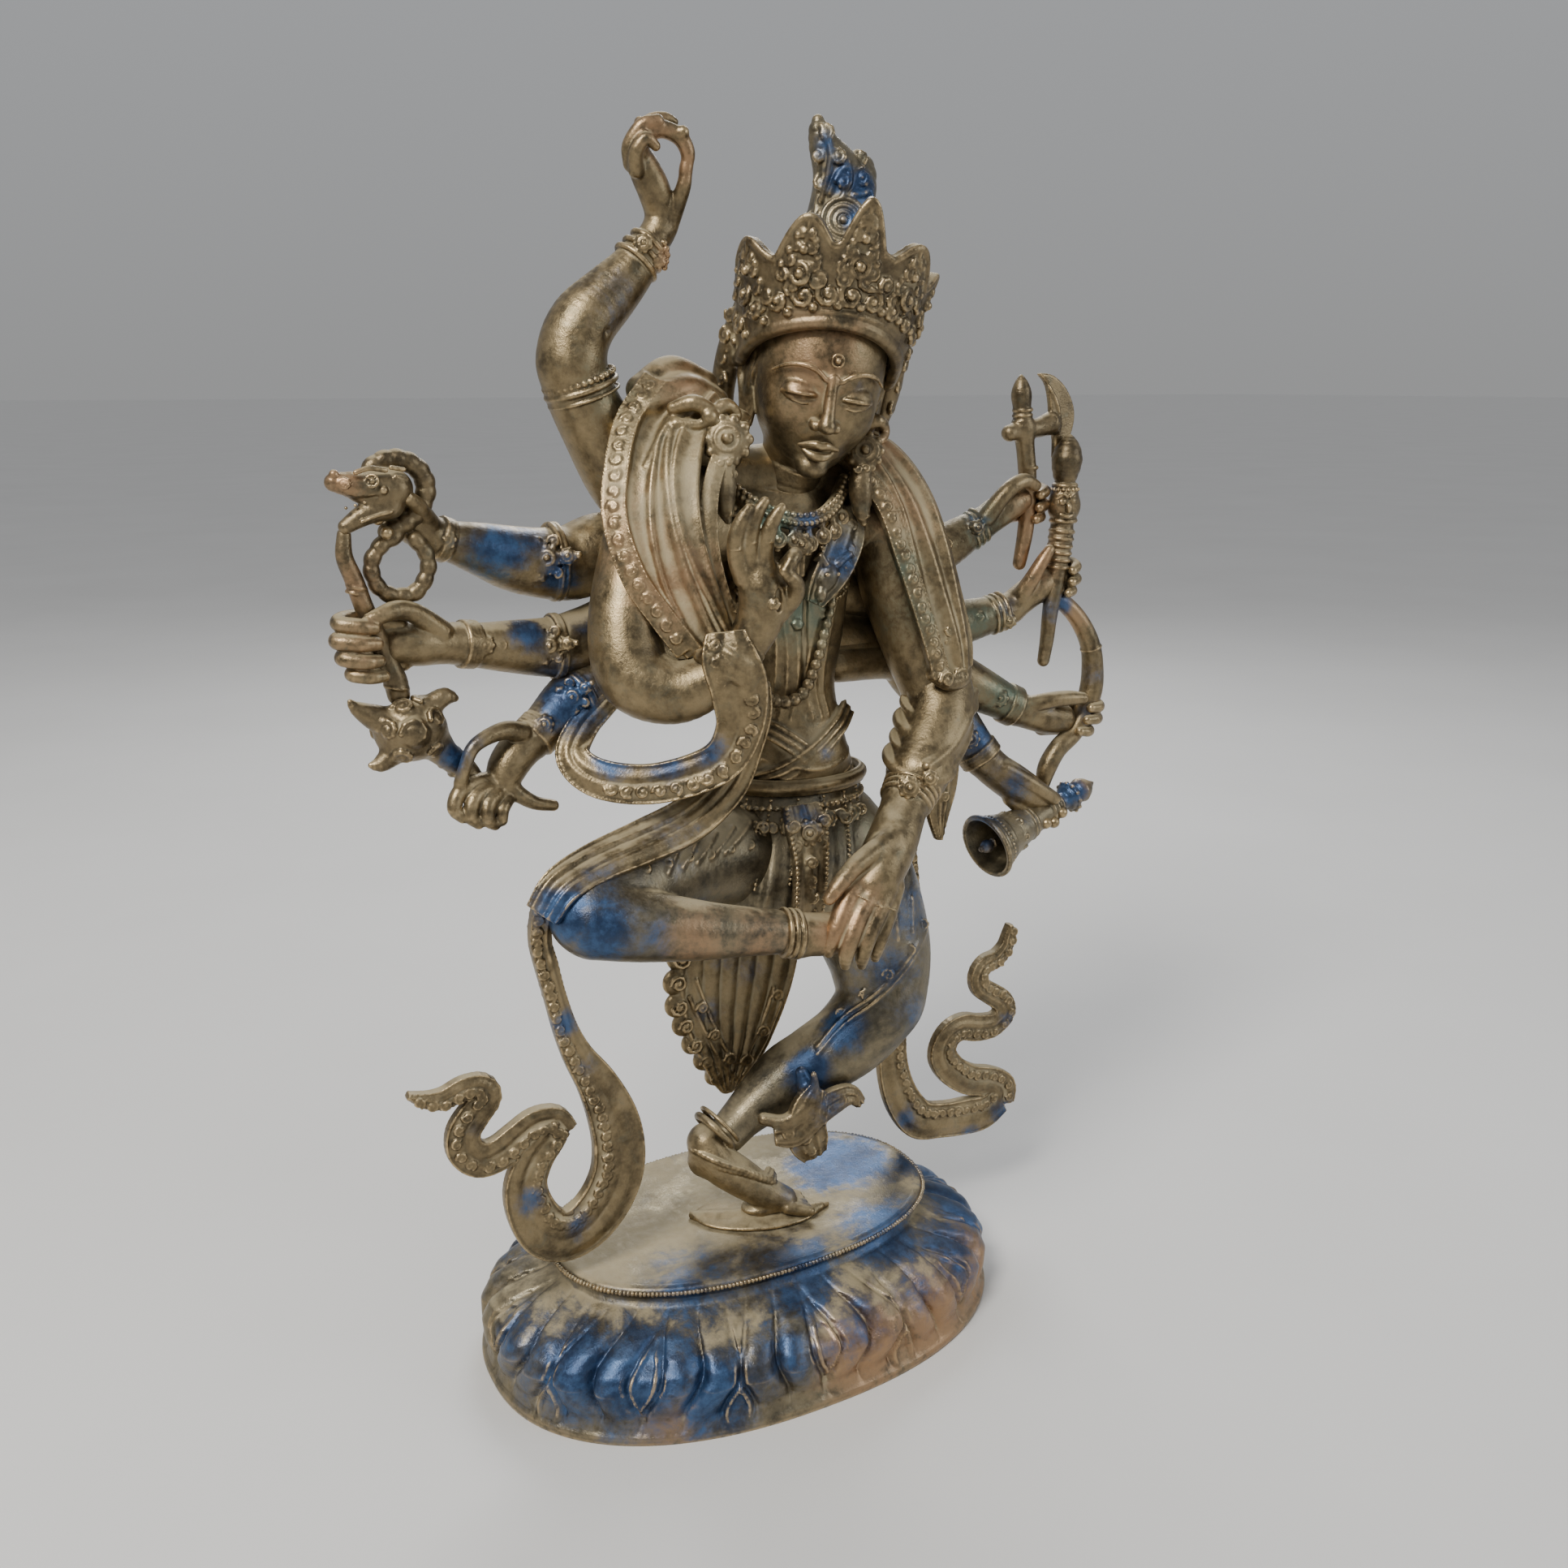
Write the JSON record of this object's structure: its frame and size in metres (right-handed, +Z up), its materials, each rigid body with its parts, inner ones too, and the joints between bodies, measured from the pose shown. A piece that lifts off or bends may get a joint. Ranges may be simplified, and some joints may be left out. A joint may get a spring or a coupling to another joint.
{
  "type": "multi-armed dancing figure statue",
  "caption": "Cast brass dancing figure with a fan of arms holding ritual implements, one leg raised, crown and trailing scarves, on an oval lotus base.",
  "frame": {"origin": "centre of the oval base's underside", "axes": "+Z up, +X along the base's long side towards the figure's left, -Y the way the figure faces"},
  "size_m": [0.3787, 0.1696, 0.5307],
  "materials": {
    "aged_brass": "dusty olive-brown antique patina with traces of blue paint",
    "dark_bronze": "dark brown patina, worn bright on high spots",
    "blue_washed_brass": "worn matt blue paint over brass"
  },
  "bodies": {
    "root": {"lotus_base": "blue_washed_brass", "base_plate": "dark_bronze", "foot_plinth": "aged_brass", "standing_foot": "aged_brass", "standing_leg": "aged_brass", "raised_leg": "aged_brass", "raised_foot": "aged_brass", "torso": "aged_brass", "head": "aged_brass", "topknot": "dark_bronze", "crown": "dark_bronze", "earring_right": "dark_bronze", "earring_left": "dark_bronze", "hip_skirt": "aged_brass", "waist_belt": "aged_brass", "apron": "dark_bronze", "back_skirt": "aged_brass", "shawl_right": "aged_brass", "shawl_left": "aged_brass", "collar_necklace": "dark_bronze", "long_necklace": "dark_bronze", "antelope_skin": "blue_washed_brass", "right_arm_raised": "aged_brass", "right_arm_front": "aged_brass", "right_arm_noose": "aged_brass", "right_arm_staff": "aged_brass", "right_arm_mace": "aged_brass", "left_arm_front": "aged_brass", "left_arm_axe": "aged_brass", "left_arm_khatvanga": "aged_brass", "left_arm_bow": "aged_brass", "left_arm_bell": "aged_brass", "noose": "dark_bronze", "staff": "dark_bronze", "jewel_mace": "dark_bronze", "axe": "dark_bronze", "khatvanga": "dark_bronze", "bow": "aged_brass", "bell": "dark_bronze", "bell_clapper": "dark_bronze", "scarf_loop_right": "aged_brass", "scarf_fall_right": "aged_brass", "wrist_scarf_left": "aged_brass", "leg_sash": "dark_bronze", "trailing_sash_right": "aged_brass", "trailing_sash_left": "aged_brass"}
  },
  "joints": []
}
